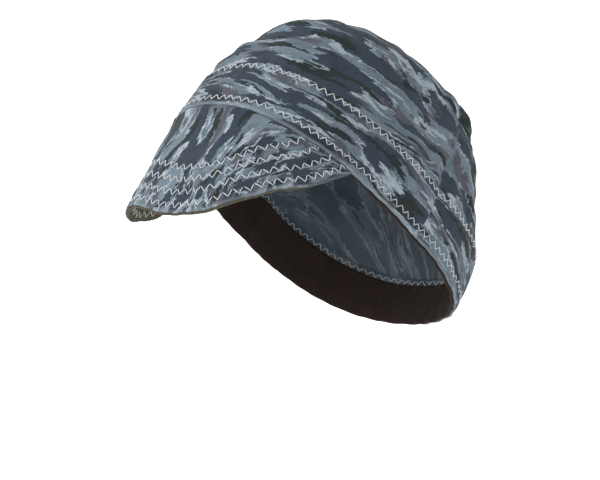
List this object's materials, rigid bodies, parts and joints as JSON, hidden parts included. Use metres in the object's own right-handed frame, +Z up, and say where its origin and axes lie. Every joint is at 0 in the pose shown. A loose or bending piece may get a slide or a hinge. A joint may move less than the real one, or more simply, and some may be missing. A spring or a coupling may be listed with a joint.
{
  "type": "welding cap",
  "caption": "Soft cotton welder's cap with a deep stitched band, a two-panel crown and a short soft peak over the brow.",
  "frame": {"origin": "middle of the head opening, in the plane of the rim", "axes": "+Z up as the cap is worn, -Y to the front where the peak is, +X to the wearer's left"},
  "size_m": [0.1566, 0.229, 0.1891],
  "materials": {
    "camouflage_cotton": "matt cotton twill in blue-grey striped camouflage, paler on the reverse",
    "khaki_cotton": "coarse matt khaki cotton",
    "dark_cotton": "soft dark brown cotton",
    "pale_thread": "pale grey sewing thread with a slight sheen"
  },
  "bodies": {
    "root": {"crown_front": "camouflage_cotton", "crown_back": "camouflage_cotton", "band_front": "camouflage_cotton", "band_back": "camouflage_cotton", "peak": "camouflage_cotton", "peak_lining": "khaki_cotton", "sweatband": "dark_cotton"}
  },
  "joints": []
}
